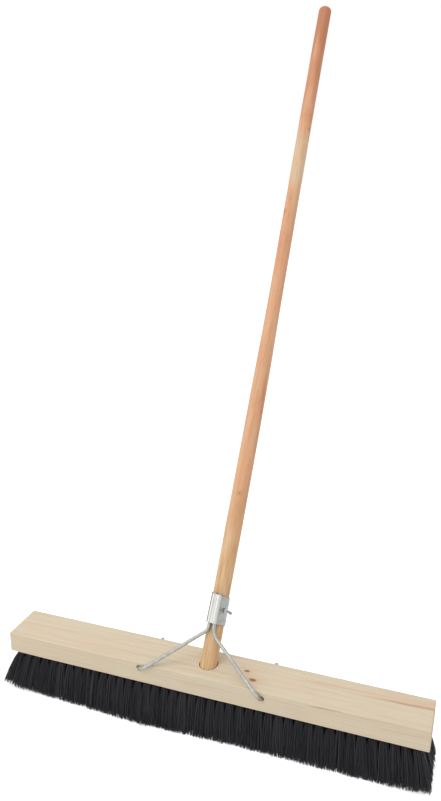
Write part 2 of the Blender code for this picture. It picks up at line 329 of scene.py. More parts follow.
# %% The floor
FLOOR_HALF = 40.0
FLOOR_FILL = 0.60
floor_mesh = bpy.data.meshes.new("floor")
corners = [(-FLOOR_HALF, -FLOOR_HALF, 0), (FLOOR_HALF, -FLOOR_HALF, 0)]
corners += [(FLOOR_HALF, FLOOR_HALF, 0), (-FLOOR_HALF, FLOOR_HALF, 0)]
floor_mesh.from_pydata(corners, [], [(0, 1, 2, 3)])
floor = bpy.data.objects.new("floor", floor_mesh)
bpy.context.scene.collection.objects.link(floor)
floor_finish, floor_shader, floor_place = start_finish("pale_floor")
floor_shader.inputs["Base Color"].default_value = (0.8, 0.8, 0.8, 1.0)
floor_shader.inputs["Roughness"].default_value = 1.0
floor_shader.inputs["Specular IOR Level"].default_value = 0.0
floor_shader.inputs["Emission Strength"].default_value = 1.0
fill = (FLOOR_FILL, FLOOR_FILL, FLOOR_FILL, 1.0)
feed(floor_shader, Emission_Color=blend(seen_directly(floor_place), (0, 0, 0, 1), fill))
floor_mesh.materials.append(floor_finish)
floor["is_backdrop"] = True
print("floor ready")

# %% [markdown]
# ## Making meshes
# Most pieces here are turned, drawn or bent, so they are rings of points joined by a skin. One
# function lofts rings, one cuts holes with another shape, and one puts a finished mesh on its
# CAD body in place of its plain solid.

# %% Helpers for meshes
def loft(rings, around=True, caps=True):
    """Join rings of points, closed on themselves or not, by a skin of four-sided faces."""
    shape = bmesh.new()
    rows = [[shape.verts.new(point) for point in ring] for ring in rings]
    for low, high in zip(rows, rows[1:]):
        pairs = list(zip(range(len(low)), range(1, len(low))))
        if around:
            pairs.append((len(low) - 1, 0))
        for i, j in pairs:
            shape.faces.new((low[i], low[j], high[j], high[i]))
    if caps:
        shape.faces.new(rows[0][::-1])
        shape.faces.new(rows[-1])
    bmesh.ops.recalc_face_normals(shape, faces=shape.faces)
    return shape


def circle(radius, height, sides):
    turns = [math.tau * i / sides for i in range(sides)]
    return [Vector((radius * math.cos(turn), radius * math.sin(turn), height)) for turn in turns]


def turned(profile, sides):
    """A shape off the lathe, from (radius, height) points."""
    return loft([circle(radius, height, sides) for radius, height in profile])


def put(name, shape, matrix=Matrix.Identity(4)):
    """Turn a shape into an object that stands at the matrix."""
    mesh = bpy.data.meshes.new(name)
    shape.to_mesh(mesh)
    shape.free()
    item = bpy.data.objects.new(name, mesh)
    bpy.context.scene.collection.objects.link(item)
    item.matrix_world = matrix
    return item


def settle(item):
    """Apply the modifiers of an object."""
    graph = bpy.context.evaluated_depsgraph_get()
    final = bpy.data.meshes.new_from_object(
        item.evaluated_get(graph), preserve_all_data_layers=True, depsgraph=graph
    )
    item.modifiers.clear()
    item.data = final


def carve(item, cutter, operation="DIFFERENCE"):
    """Cut an object with another one, which is used up."""
    boolean = item.modifiers.new("carve", "BOOLEAN")
    boolean.operation = operation
    boolean.solver = "EXACT"
    boolean.object = cutter
    settle(item)
    bpy.data.objects.remove(cutter)


def smooth(item, angle):
    """Round shading with sharp edges above the angle, and flat faces kept flat."""
    item.data.shade_smooth()
    item.data.set_sharp_from_angle(angle=math.radians(angle))
    weighted = item.modifiers.new("flat_faces", "WEIGHTED_NORMAL")
    weighted.keep_sharp = True
    settle(item)


def mount(item, finish, body, node):
    """Give a piece its finish and its body, in place of its plain solid."""
    item.data.materials.clear()
    item.data.materials.append(finish)
    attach(item, body)
    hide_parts(node)
    low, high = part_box(node)
    size = [round(side * 1000, 1) for side in high - low]
    print(f"{item.name}: {len(item.data.polygons)} faces in place of {node}, {size} mm")


print("mesh helpers ready")

# %% [markdown]
# ## Pine
# The platform is planed pine: pale, with growth rings that run along it as faint lines. A flat
# image of planks would show the same lines on every side, so the rings are real: the distance from
# a far-off pith that runs along X, bent a little by noise. On the ends the same rings show as arcs.
# Two small knots push the rings aside, a reddish streak with a fainter twin runs towards the right
# end, and the planer left one thin mark in front.

# %% Growth rings
pine, pine_shader, place = start_finish("planed_pine")
PITH_Y = -0.065
PITH_Z = -0.030
RING_WIDTH = 0.0046
KNOTS = ((0.0545, 0.0036, 1.0), (0.0672, -0.0118, 1.3))
KNOT_STRETCH = 1.7
KNOT_PUSH = 0.003
along, across, upward = (axis_of(place, number) for number in range(3))


def knot_distance(knot_x, knot_y):
    """How far a point is from a knot, with the knot drawn out along the grain."""
    return (((along - knot_x) / KNOT_STRETCH) ** 2 + (across - knot_y) ** 2) ** 0.5


knot_distances = [knot_distance(x, y) / size for x, y, size in KNOTS]
push = sum(1 - soft_step(distance, 0.0, 0.009) for distance in knot_distances)
bend_y = cloud(place, (4.0, 25.0, 25.0)) - 0.5
bend_z = cloud(place, (5.0, 31.0, 31.0)) - 0.5
from_pith_y = across - PITH_Y + 0.012 * bend_y
from_pith_z = upward - PITH_Z + 0.010 * bend_z
pith_distance = (from_pith_y * from_pith_y + from_pith_z * from_pith_z) ** 0.5 + KNOT_PUSH * push
ring_share = place.maths("FRACT", pith_distance / RING_WIDTH)
latewood = soft_step(ring_share, 0.15, 0.90) * (1 - soft_step(ring_share, 0.92, 1.0))
print(f"rings {RING_WIDTH * 1000:.1f} mm wide around a pith {abs(PITH_Y) * 1000:.0f} mm in front")

# %% Colour, knots and streaks
fibres = cloud(place, (14.0, 620.0, 620.0), 3.0)
bands = cloud(place, (2.2, 70.0, 70.0), 3.0)
tint = cloud(place, (6.0, 14.0, 14.0))
wisps = cloud(place, (11.0, 110.0, 110.0), 4.0)
ring_strength = 0.10 + 0.36 * soft_step(bands, 0.38, 0.72)
wood = blend(latewood * ring_strength, paint(221, 206, 181), paint(203, 182, 150))
wood = blend(0.40 * soft_step(bands, 0.50, 0.75), wood, paint(210, 191, 159))
wood = blend(0.55 * soft_step(tint, 0.50, 0.72), wood, paint(222, 197, 170))
wood = blend(0.45 * soft_step(wisps, 0.54, 0.72), wood, paint(212, 190, 160))
wood = blend(0.40 * (1 - soft_step(wisps, 0.30, 0.44)), wood, paint(226, 213, 191))
wood = blend(0.32 * (1 - soft_step(fibres, 0.30, 0.52)), wood, paint(202, 182, 151))
halo = sum(1 - soft_step(distance, 0.001, 0.012) for distance in knot_distances)
wood = blend(0.55 * halo, wood, paint(222, 182, 146))
cores = sum(1 - soft_step(distance, 0.0013, 0.0030) for distance in knot_distances)
wood = blend(0.85 * cores, wood, paint(118, 82, 56))
print("knots at", [(round(x * 1000, 1), round(y * 1000, 1)) for x, y, _ in KNOTS], "mm")

# %% Heartwood streak and planing mark
GRAIN_SLOPE = 0.047
TWIN_ASIDE = 0.0075
near_top = soft_step(upward, 0.070, 0.086)
streak_line = 0.0069 + GRAIN_SLOPE * (along - 0.200) + 0.002 * bend_y
streak_side = across - streak_line
streak_run = soft_step(along, 0.170, 0.285) * near_top
streak = (1 - soft_step(abs(streak_side + 0.0005), 0.0006, 0.0034)) * streak_run
twin_run = soft_step(along, 0.120, 0.150) * (1 - soft_step(along, 0.200, 0.240)) * near_top
twin = (1 - soft_step(abs(streak_side - TWIN_ASIDE), 0.0004, 0.0022)) * twin_run
blush = soft_step(streak_side, -0.002, 0.004) * (1 - soft_step(streak_side, 0.006, 0.022))
wood = blend(0.50 * blush * streak_run, wood, paint(216, 180, 150))
wood = blend((0.55 + 0.40 * soft_step(wisps, 0.40, 0.60)) * streak, wood, paint(184, 138, 108))
wood = blend(0.35 * twin * soft_step(wisps, 0.35, 0.60), wood, paint(196, 158, 126))
mark_line = 0.0876 + GRAIN_SLOPE * (along - 0.1536)
mark_run = soft_step(along, 0.142, 0.160) * (1 - soft_step(along, 0.178, 0.196))
mark = (1 - soft_step(abs(upward - mark_line), 0.0002, 0.0009)) * mark_run
mark = mark * (1 - soft_step(across, 0.0003 - BLOCK_WIDTH / 2, 0.0015 - BLOCK_WIDTH / 2))
wood = blend(0.55 * mark, wood, paint(140, 122, 98))
print(f"the grain drifts {GRAIN_SLOPE * 100:.1f} mm in each 100 mm")

# %% Sawn ends, painted edge highlight and shade, and surface
sawn_end = soft_step(abs(along), BLOCK_LENGTH / 2 - 0.0012, BLOCK_LENGTH / 2 - 0.0002)
pores = cloud(place, (300.0, 1500.0, 1500.0))
wood = blend(0.40 * sawn_end, wood, paint(196, 168, 128))
wood = blend(0.35 * sawn_end * soft_step(pores, 0.50, 0.70), wood, paint(160, 128, 90))
# A lighter band along the bottom edge is a painted highlight.
painted_lower_edge_highlight = 1 - soft_step(upward, BLOCK_BOTTOM + 0.0008, BLOCK_BOTTOM + 0.0026)
wood = blend(0.60 * painted_lower_edge_highlight, wood, paint(234, 212, 190))
# A darker line along the back top edge is painted shade.
painted_back_edge_shade = soft_step(across, BLOCK_WIDTH / 2 - 0.0024, BLOCK_WIDTH / 2 - 0.0008)
painted_back_edge_shade = painted_back_edge_shade * soft_step(upward, BLOCK_TOP - 0.0024, BLOCK_TOP - 0.0008)
wood = blend(0.45 * painted_back_edge_shade, wood, paint(178, 158, 134))
pine_shader.inputs["Specular IOR Level"].default_value = 0.30
feed(
    pine_shader,
    Base_Color=wood,
    Roughness=0.56 + 0.14 * fibres + 0.10 * sawn_end - 0.06 * latewood,
    Normal=bump(0.6 * fibres + 0.4 * latewood - 0.8 * mark, 0.0004),
)
print("pine nodes:", len(pine.node_tree.nodes))

# %% [markdown]
# ## The platform
# A rectangular block, sawn, planed and sanded by hand over its edges. It has a slanted blind socket
# for the handle, two cross holes for the wires and a drilled hole for every tuft. A cube with a
# bevel gives the sanded edges, extra slices let the long edges wander by a tenth of a millimetre,
# and one cutter with all holes drills it in a single exact cut.

# %% Where the tufts stand
def tuft_places(number):
    """The middle of each tuft hole in a row; every other row is set half a pitch aside."""
    count = TUFTS - 1 if number % 2 == 0 else TUFTS
    row_y = (number - (ROWS + 1) / 2) * ROW_PITCH
    return [((tuft - (count - 1) / 2) * TUFT_PITCH, row_y) for tuft in range(count)]


row_numbers = range(1, ROWS + 1)
print("tufts:", sum(len(tuft_places(number)) for number in row_numbers))

# %% Plane and sand the block
EDGE_ROUND = 0.0012
EDGE_WANDER = 0.00016
WANDERS_A_METRE = 45
SLICES = 60
shape = bmesh.new()
bmesh.ops.create_cube(shape, size=1.0)
bmesh.ops.scale(shape, vec=(BLOCK_LENGTH, BLOCK_WIDTH, BLOCK_HEIGHT), verts=shape.verts)
bmesh.ops.translate(shape, vec=(0, 0, (BLOCK_BOTTOM + BLOCK_TOP) / 2), verts=shape.verts)
bmesh.ops.bevel(shape, geom=shape.edges[:], offset=EDGE_ROUND, segments=4, profile=0.5, affect="EDGES")
for i in range(1, SLICES):
    slice_x = BLOCK_LENGTH * (i / SLICES - 0.5)
    everything = shape.verts[:] + shape.edges[:] + shape.faces[:]
    bmesh.ops.bisect_plane(shape, geom=everything, plane_co=(slice_x, 0, 0), plane_no=(1, 0, 0))
shape.normal_update()
for vert in shape.verts:
    vert.co += vert.normal * EDGE_WANDER * noise.noise(vert.co * WANDERS_A_METRE)
platform = put("pine_platform", shape)
print("block faces before drilling:", len(platform.data.polygons))

# %% Drill it
SOCKET_CLEARANCE = 0.0012
ROD_HOLE_PLAY = 0.0007
ROD_DRILL_LEAD = 0.010
TUFT_HOLE_RADIUS = 0.0045
TUFT_HOLE_DEPTH = 0.005


def drill(shape, matrix, radius, depth, sides):
    """Add a drill to a cutter: it starts at the matrix and goes down its Z axis by the depth."""
    middle = matrix @ Matrix.Translation((0, 0, -depth / 2))
    bmesh.ops.create_cone(
        shape, cap_ends=True, segments=sides, radius1=radius, radius2=radius, depth=depth, matrix=middle
    )


drills = bmesh.new()
socket_top = HANDLE_FRAME @ Matrix.Translation((0, 0, BLOCK_HEIGHT))
drill(drills, socket_top, HANDLE_FOOT_RADIUS + SOCKET_CLEARANCE, BLOCK_HEIGHT + SOCKET_DEPTH, 48)
for side, corners in zip((-1, 1), ROD_ENDS.values()):
    front, back = (Vector(corner) + Vector((side * ROD_HOLE_PLAY, 0, 0)) for corner in corners[1:])
    out = (front - back).normalized()
    turned_out = out.to_track_quat("Z", "Y").to_matrix().to_4x4()
    hole_start = Matrix.Translation(front + ROD_DRILL_LEAD * out) @ turned_out
    drill(drills, hole_start, ROD_RADIUS + SEAT_GAP + ROD_HOLE_PLAY, 2 * BLOCK_WIDTH, 28)
for number in row_numbers:
    for tuft_x, tuft_y in tuft_places(number):
        hole_start = Matrix.Translation((tuft_x, tuft_y, BLOCK_BOTTOM + TUFT_HOLE_DEPTH))
        drill(drills, hole_start, TUFT_HOLE_RADIUS, 2 * TUFT_HOLE_DEPTH, 12)
carve(platform, put("drills", drills))
smooth(platform, 35)
mount(platform, pine, "broom", "broom_block")

# %% [markdown]
# ## Stick wood
# The handle is turned from a reddish hardwood. Its colour drifts along the stick, from a warm
# orange near the top through a pale stretch to a tan foot. Long streaks run with the grain, soft
# mottling breaks them up, and the tan wood has pale and dark flames. All of it is noise drawn out
# along the handle's own axis. Short dark pores and three small knots come last.

# %% The handle's finish
stick, stick_shader, place = start_finish("turned_stick_wood")
HANDLE_FOOT = SEAT_GAP - SOCKET_DEPTH
HANDLE_LENGTH = 1.0935
HANDLE_REACH = HANDLE_FOOT + HANDLE_LENGTH
DRIFT = ((0.0, 0.36), (0.22, 0.42), (0.42, 0.50), (0.60, 0.68))
DRIFT += ((0.665, 0.46), (0.70, 0.12), (0.755, 0.06), (0.80, 0.64), (1.0, 1.10))
height = axis_of(place, 2)
drift_stops = [(position, (redness, redness, redness, 1)) for position, redness in DRIFT]
drift = place.node("ShaderNodeValToRGB", {"stops": drift_stops}, {0: height / HANDLE_REACH})
streaks = cloud(place, (70.0, 70.0, 2.6), 2.0)
fine_streaks = cloud(place, (420.0, 420.0, 7.0), 3.0)
pores = cloud(place, (1300.0, 1300.0, 45.0))
mottle = cloud(place, (95.0, 95.0, 15.0))
redness = drift + 0.9 * (streaks - 0.5) + 1.1 * (mottle - 0.5)
tones = [(0.0, paint(221, 192, 156)), (0.5, paint(223, 167, 127)), (1.0, paint(195, 127, 90))]
stick_colour = redness.node("ShaderNodeValToRGB", {"stops": tones}, {0: redness})
rosy = cloud(place, (55.0, 55.0, 4.0))
stick_colour = blend(0.40 * soft_step(rosy, 0.52, 0.68), stick_colour, paint(224, 160, 132))
tan = 1 - soft_step(height, 0.08, 0.30)
stick_colour = blend(0.80 * tan, stick_colour, paint(216, 180, 131))
flame = cloud(place, (210.0, 210.0, 24.0), 3.0)
stick_colour = blend(0.55 * tan * soft_step(flame, 0.53, 0.66), stick_colour, paint(230, 206, 166))
stick_colour = blend(0.50 * tan * (1 - soft_step(flame, 0.34, 0.47)), stick_colour, paint(182, 140, 98))
stick_colour = blend(0.35 * (1 - soft_step(fine_streaks, 0.32, 0.50)), stick_colour, paint(188, 134, 98))
stick_colour = blend(0.30 * soft_step(pores, 0.60, 0.72), stick_colour, paint(150, 98, 66))
print("the handle's colour drifts over", len(DRIFT), "stops")

# %% Its small knots, end grain and surface
SPECKS = ((0.2364, 16.0, 1.2), (0.836, 62.0, 1.2), (0.687, -50.0, 1.7))
SPECK_RADIUS = 0.011


def speck_distance(speck_height, degrees):
    """How far a point is from a small knot on the handle's skin."""
    turn = math.radians(degrees)
    middle = (SPECK_RADIUS * math.sin(turn), -SPECK_RADIUS * math.cos(turn), speck_height)
    return distance_to(place, middle)


specks = [speck_distance(level, degrees) / size for level, degrees, size in SPECKS]
speck_halo = sum(1 - soft_step(distance, 0.001, 0.006) for distance in specks)
speck_core = sum(1 - soft_step(distance, 0.0005, 0.0019) for distance in specks)
stick_colour = blend(0.40 * speck_halo, stick_colour, paint(186, 128, 84))
stick_colour = blend(0.85 * speck_core, stick_colour, paint(108, 70, 44))
crown = soft_step(height, HANDLE_REACH - 0.006, HANDLE_REACH)
stick_colour = blend(0.45 * crown, stick_colour, paint(168, 106, 70))
stick_shader.inputs["Specular IOR Level"].default_value = 0.35
feed(
    stick_shader,
    Base_Color=stick_colour,
    Roughness=0.44 + 0.16 * fine_streaks + 0.15 * crown,
    Normal=bump(0.7 * fine_streaks - 0.5 * pores, 0.0003),
)
print("stick nodes:", len(stick.node_tree.nodes))

# %% [markdown]
# ## The handle
# A stick off the lathe: thick where it meets the platform, slimmer from the middle up, a slight
# swell for the hand and a rounded top. It is lofted from many rings, because a turned stick is
# never quite true: each ring is off by up to a tenth of a millimetre, and above the sleeve the whole
# stick has warped into a long shallow S. The bolt's hole goes through.

# %% Turn the handle
TAPER_START = 0.38
TAPER_END = 0.57
GRIP_START = 0.82
HANDLE_WAIST_RADIUS = 0.0104
HANDLE_GRIP_RADIUS = 0.0106
HANDLE_TOP_ROUND = 0.006
BELLY = 0.0004
HANDLE_SIDES = 56
FOOT_CHAMFER = 0.001
SHAFT_RINGS = 72
TOP_RINGS = 10


def handle_radius(level):
    """Full at the foot, slimmer from the middle up, with a slight swell at the grip."""
    if level < TAPER_END:
        share = (level - TAPER_START) / (TAPER_END - TAPER_START)
        ends = (HANDLE_FOOT_RADIUS, HANDLE_WAIST_RADIUS)
    else:
        share = (level - GRIP_START) / (HANDLE_REACH - GRIP_START)
        ends = (HANDLE_WAIST_RADIUS, HANDLE_GRIP_RADIUS)
    share = min(max(share, 0), 1)
    belly = math.sin(math.pi * min(max((level - SLEEVE_TOP) / (TAPER_START - SLEEVE_TOP), 0), 1))
    return ends[0] + (ends[1] - ends[0]) * share * share * (3 - 2 * share) + BELLY * belly


def handle_profile():
    """Points of radius and height, from the chamfered foot to the rounded top."""
    low = HANDLE_FOOT + FOOT_CHAMFER
    high = HANDLE_REACH - HANDLE_TOP_ROUND
    levels = [low + (high - low) * i / SHAFT_RINGS for i in range(SHAFT_RINGS + 1)]
    profile = [(HANDLE_FOOT_RADIUS - FOOT_CHAMFER, HANDLE_FOOT)]
    profile += [(handle_radius(level), level) for level in levels]
    flat = handle_radius(high) - HANDLE_TOP_ROUND
    for i in range(1, TOP_RINGS + 1):
        turn = math.pi / 2 * i / TOP_RINGS
        radius = flat + HANDLE_TOP_ROUND * math.cos(turn)
        profile.append((radius, high + HANDLE_TOP_ROUND * math.sin(turn)))
    return profile


rings = [circle(radius, level, HANDLE_SIDES) for radius, level in handle_profile()]
print("rings in the handle:", len(rings))

# %% Warp and drill it
HANDLE_WANDER = 0.00014
HANDLE_WANDER_SCALE = Vector((60, 60, 14))
WARP = 0.0015
WARP_LENGTH = 1.29
BOLT_HOLE_RADIUS = BOLT_RADIUS + SEAT_GAP
BOLT_DRILL_LENGTH = 0.06


def drill_for_bolt(item):
    """Drill the bolt's hole through a piece on the handle."""
    cutter = bmesh.new()
    start = Matrix.Translation((0, 0, BOLT_DRILL_LENGTH / 2))
    drill(cutter, start, BOLT_HOLE_RADIUS, BOLT_DRILL_LENGTH, 24)
    carve(item, put("bolt_drill", cutter, BOLT_FRAME))


for ring in rings:
    for point in ring:
        off = noise.noise(point * HANDLE_WANDER_SCALE)
        point.xy *= 1 + HANDLE_WANDER * off / HANDLE_FOOT_RADIUS
        point.x += WARP * math.sin(math.tau * max(point.z - SLEEVE_TOP, 0) / WARP_LENGTH)
handle = put("turned_handle", loft(rings), HANDLE_FRAME)
drill_for_bolt(handle)
smooth(handle, 35)
mount(handle, stick, "broom", "handle")

# %% [markdown]
# ## Zinc
# The wires and the sleeve are galvanised. Zinc freezes in crystals, the spangle, that reflect a
# little more or less each, which a Voronoi texture gives cell by cell. The wires are dull and drawn,
# and near the holes they are painted brown, partly a painted reflection of the wood and partly rust.
# The sleeve is brighter sheet with fine scratches.
# The front is painted brighter, a painted highlight, with a few thin lines of painted shade that
# follow the wires, and the left flank beside it is painted darker as shade.

# %% The wire's finish
wire_zinc, wire_shader, place = start_finish("galvanised_wire")
dull = cloud(place, (260.0, 260.0, 260.0), 3.0)
patches = cloud(place, (70.0, 70.0, 70.0), 2.0)
wire_colour = blend(soft_step(dull, 0.30, 0.70), paint(166, 167, 163), paint(188, 188, 182))
wire_colour = blend(0.45 * soft_step(patches, 0.45, 0.65), wire_colour, paint(154, 158, 157))
mouths = [distance_to(place, corners[1]) for corners in ROD_ENDS.values()]
# Near the holes the wire is painted brown: partly a painted reflection of the wood, partly rust.
wood_reflection_and_rust = (1 - soft_step(place.maths("MINIMUM", *mouths), 0.003, 0.009)) * soft_step(dull, 0.15, 0.55)
wire_colour = blend(0.75 * wood_reflection_and_rust, wire_colour, paint(164, 136, 104))
feed(
    wire_shader,
    Base_Color=wire_colour,
    Metallic=1 - 0.6 * wood_reflection_and_rust,
    Roughness=0.42 + 0.20 * dull + 0.15 * wood_reflection_and_rust,
    Normal=bump(dull, 0.0001),
)
print("wire nodes:", len(wire_zinc.node_tree.nodes))

# %% The sheet's finish
# Turns of the painted shade lines, and how all painted marks twist up the sleeve.
SHADE_LINE_TURNS = (-0.28, -0.07, 0.13)
PAINT_TWIST = 1.6
sheet_zinc, sheet_shader, place = start_finish("galvanised_sheet")
crystals = place.node("ShaderNodeTexVoronoi", {}, {"Vector": place, "Scale": 230.0}, "Color")
spangle = crystals.node("ShaderNodeSeparateColor", {}, {0: crystals})
scratches = cloud(place, (1400.0, 1400.0, 90.0), 2.0)
smear = cloud(place, (90.0, 90.0, 60.0), 3.0)
sheet_colour = blend(spangle, paint(152, 155, 153), paint(172, 174, 171))
sheet_colour = blend(0.35 * soft_step(smear, 0.50, 0.70), sheet_colour, paint(132, 136, 138))
turn = place.maths("ARCTAN2", axis_of(place, 0), 0.0 - axis_of(place, 1))
turn = turn - PAINT_TWIST * (axis_of(place, 2) - SLEEVE_BOTTOM)
# The front between the wires is painted brighter: a painted highlight where the lamps reflect.
painted_highlight_front = soft_step(turn, -0.50, -0.42) * (1 - soft_step(turn, 0.25, 0.34))
sheet_colour = blend(0.9 * painted_highlight_front, sheet_colour, paint(206, 206, 200))
# Thin dark lines along the wires are painted shade.
painted_shade_lines = sum(1 - soft_step(abs(turn - middle), 0.01, 0.04) for middle in SHADE_LINE_TURNS)
sheet_colour = blend(0.50 * painted_shade_lines, sheet_colour, paint(100, 102, 100))
# The left flank beside the front is painted darker: painted shade, with the spangle kept.
painted_shade_side = (1 - soft_step(turn, -0.48, -0.41)) * soft_step(turn, -1.9, -1.0)
painted_shade_tone = blend(spangle, paint(96, 99, 98), paint(118, 121, 119))
sheet_colour = blend(0.85 * painted_shade_side, sheet_colour, painted_shade_tone)
sheet_shader.inputs["Metallic"].default_value = 1.0
feed(
    sheet_shader,
    Base_Color=sheet_colour,
    Roughness=0.34 + 0.08 * spangle + 0.12 * smear - 0.08 * painted_highlight_front,
    Normal=bump(0.6 * scratches + 0.4 * spangle, 0.00006),
)
print("sheet nodes:", len(sheet_zinc.node_tree.nodes))

# %% [markdown]
# ## The brace wires
# Each brace is one length of 5 mm wire. It lies along the front of the handle under the sleeve, a
# little to the left, runs over the front edge of the platform, bends down into its cross hole and is
# clenched upwards behind. The route is a list of corners rounded to the bend radii; a ring of points
# is carried along it, and the cut ends are dressed with a small chamfer.

# %% Routes for the wires
ROD_TOP_RISE = 0.0018
ROD_TAIL_DROP = 0.0015
ROD_FIRST_BENDS = {"left": (0.0441, 0.012), "right": (0.0404, 0.020)}
ROD_END_BENDS = (0.008, 0.0036, 0.0035)
ARC_POINTS = 15


def arc_run(corners, radii):
    """A path through the corners with each inner corner rounded to its radius."""
    path = [corners[0]]
    for before, corner, after, radius in zip(corners, corners[1:], corners[2:], radii):
        back = (before - corner).normalized()
        ahead = (after - corner).normalized()
        half = back.angle(ahead) / 2
        centre = corner + (back + ahead).normalized() * radius / math.sin(half)
        start = corner + back * radius / math.tan(half) - centre
        end = corner + ahead * radius / math.tan(half) - centre
        path += [centre + start.slerp(end, i / (ARC_POINTS - 1)) * radius for i in range(ARC_POINTS)]
    return path + [corners[-1]]


def toward(turn):
    """A unit step away from the handle's axis, by the angle from the front."""
    return Vector((math.sin(turn), -math.cos(turn)))


def wire_turn(name, share):
    """The angle of a wire round the handle, a share of the way up the sleeve."""
    foot, top = ROD_TURNS[name]
    return math.radians(foot + (top - foot) * share)


def wire_route(name):
    """Down the handle, over the front edge, through the platform and up behind it."""
    bend_height, bend_radius = ROD_FIRST_BENDS[name]
    on_handle = [
        HANDLE_FRAME @ Vector((*(ROD_SEAT * toward(wire_turn(name, share))), level))
        for level, share in ((SLEEVE_TOP + ROD_TOP_RISE, 1), (bend_height, 0))
    ]
    at_block = [Vector(corner) for corner in ROD_ENDS[name]]
    tail = Vector((*at_block[-1].xy, BLOCK_TOP - ROD_TAIL_DROP))
    return arc_run([*on_handle, *at_block, tail], (bend_radius, *ROD_END_BENDS))


routes = {name: wire_route(name) for name in ROD_FIRST_BENDS}
for name, route in routes.items():
    print(name, f"wire {sum((b - a).length for a, b in zip(route, route[1:])) * 1000:.0f} mm long")

# %% Draw the wires
WIRE_SIDES = 24
END_CHAMFER = 0.0006


def wire_rings(route):
    """Rings round the route, carried along without twist, with dressed ends."""
    ends = (route[1] - route[0]).normalized(), (route[-1] - route[-2]).normalized()
    places = [route[0], route[0] + ends[0] * END_CHAMFER, *route[1:-1]]
    places += [route[-1] - ends[1] * END_CHAMFER, route[-1]]
    across = ends[0].orthogonal()
    rings = []
    for i, spot in enumerate(places):
        ahead = (places[min(i + 1, len(places) - 1)] - places[max(i - 1, 0)]).normalized()
        across = (across - ahead * across.dot(ahead)).normalized()
        beside = ahead.cross(across)
        radius = ROD_RADIUS - END_CHAMFER if i in (0, len(places) - 1) else ROD_RADIUS
        rings.append([spot + across * p.x + beside * p.y for p in circle(radius, 0, WIRE_SIDES)])
    return rings


for name, route in routes.items():
    wire = put(f"{name}_wire", loft(wire_rings(route)))
    smooth(wire, 35)
    mount(wire, wire_zinc, "broom", f"{name}_brace_rod")

# %% [markdown]
# ## The sleeve
# One strip of sheet is pulled tight round the handle and both wires, so it is flat from wire to wire
# and from each wire to the side of the handle, with a shallow furrow in front and a seam behind. Its
# rims were sheared a little askew. Where a tight strip faces some way, it rests on whichever round
# reaches furthest that way, which gives its whole line. The line is raised level by level, with the
# small dents of hand work, then thickened, and its sheared edges are broken by a bevel.

# %% Form the sleeve
FURROW_DEPTH = 0.0005
SLACK_TURN = 0.055
SEAM_GAP = 0.0015
BOTTOM_SKEW = math.tan(math.radians(4.5))
TOP_SKEW = math.tan(math.radians(9))
BUMP_RADIUS = ROD_RADIUS + 2 * SEAT_GAP
SLEEVE_WAYS = 180
SLEEVE_POINTS = 280
DENT = 0.00022
DENT_SCALE = Vector((180, 180, 5))


def sleeve_line(share):
    """The strip's inner face seen along the handle, a share of the way up, in even steps."""
    turns = [wire_turn(name, share) for name in ROD_TURNS]
    front = sum(turns) / 2
    seam = SEAM_GAP / 2 / SLEEVE_BORE
    halves = []
    for side, turn in zip((-1, 1), turns):
        wire = ROD_SEAT * toward(turn + side * SLACK_TURN)
        span = side * (math.pi - seam) - front
        ways = [toward(front + span * i / SLEEVE_WAYS) for i in range(SLEEVE_WAYS + 1)]
        halves.append([max(wire + BUMP_RADIUS * way, SLEEVE_BORE * way, key=way.dot) for way in ways])
    line = np.array(halves[0][::-1] + halves[1])
    lengths = np.concatenate(([0], np.cumsum(np.linalg.norm(np.diff(line, axis=0), axis=1))))
    even = np.linspace(0, lengths[-1], SLEEVE_POINTS)
    line = np.stack([np.interp(even, lengths, line[:, axis]) for axis in (0, 1)], axis=1)
    away = np.arctan2(line[:, 0], -line[:, 1]) - front
    between = np.clip(1 - np.abs(away) / (turns[1] - front), 0, 1)
    depth = FURROW_DEPTH * np.sin(math.pi / 2 * between) ** 2
    return line - depth[:, None] * np.array(toward(front))


def sleeve_ring(share):
    """The strip's inner line, a share of the way up, with the dents of pressing pushed outwards."""
    ring = []
    for x, y in sleeve_line(share).tolist():
        low = SLEEVE_BOTTOM - BOTTOM_SKEW * x
        high = SLEEVE_TOP - TOP_SKEW * x
        dent = noise.noise(Vector((x, y, share)) * DENT_SCALE)
        grown = 1 + DENT * (0.5 + 0.5 * dent) / SLEEVE_BORE
        ring.append(Vector((x * grown, y * grown, low + (high - low) * share)))
    return ring


print("points along the strip:", len(sleeve_ring(0.0)))

# %% Thicken and drill it
SLEEVE_LEVELS = 18
SHEARED_EDGE = 0.00022
shares = [i / SLEEVE_LEVELS for i in range(SLEEVE_LEVELS + 1)]
strip = loft([sleeve_ring(share) for share in shares], around=False, caps=False)
for face in strip.faces:
    middle = face.calc_center_median()
    if face.normal.dot(Vector((middle.x, middle.y, 0))) < 0:
        face.normal_flip()
sleeve = put("formed_sleeve", strip, HANDLE_FRAME)
thick = sleeve.modifiers.new("sheet", "SOLIDIFY")
thick.thickness = SHEET
thick.offset = 1.0
broken = sleeve.modifiers.new("broken_edges", "BEVEL")
broken.width = SHEARED_EDGE
broken.segments = 2
broken.angle_limit = math.radians(60)
settle(sleeve)
drill_for_bolt(sleeve)
smooth(sleeve, 40)
mount(sleeve, sheet_zinc, "broom", "clamp_sleeve")

# %% [markdown]
# ## Bolt and nut
# A 3.6 mm machine bolt with a slotted round head pulls the sleeve tight, and a plain hexagon nut holds
# it on the right. The thread is real: a ring's radius follows a saw-tooth that climbs 0.6 mm a turn.
# The bolt's end is hammered over, so that the nut can't shake off, and came out a little lopsided.
# The nut is a six-sided bar that meets a barrel, which is how turned corners get their curved lines.

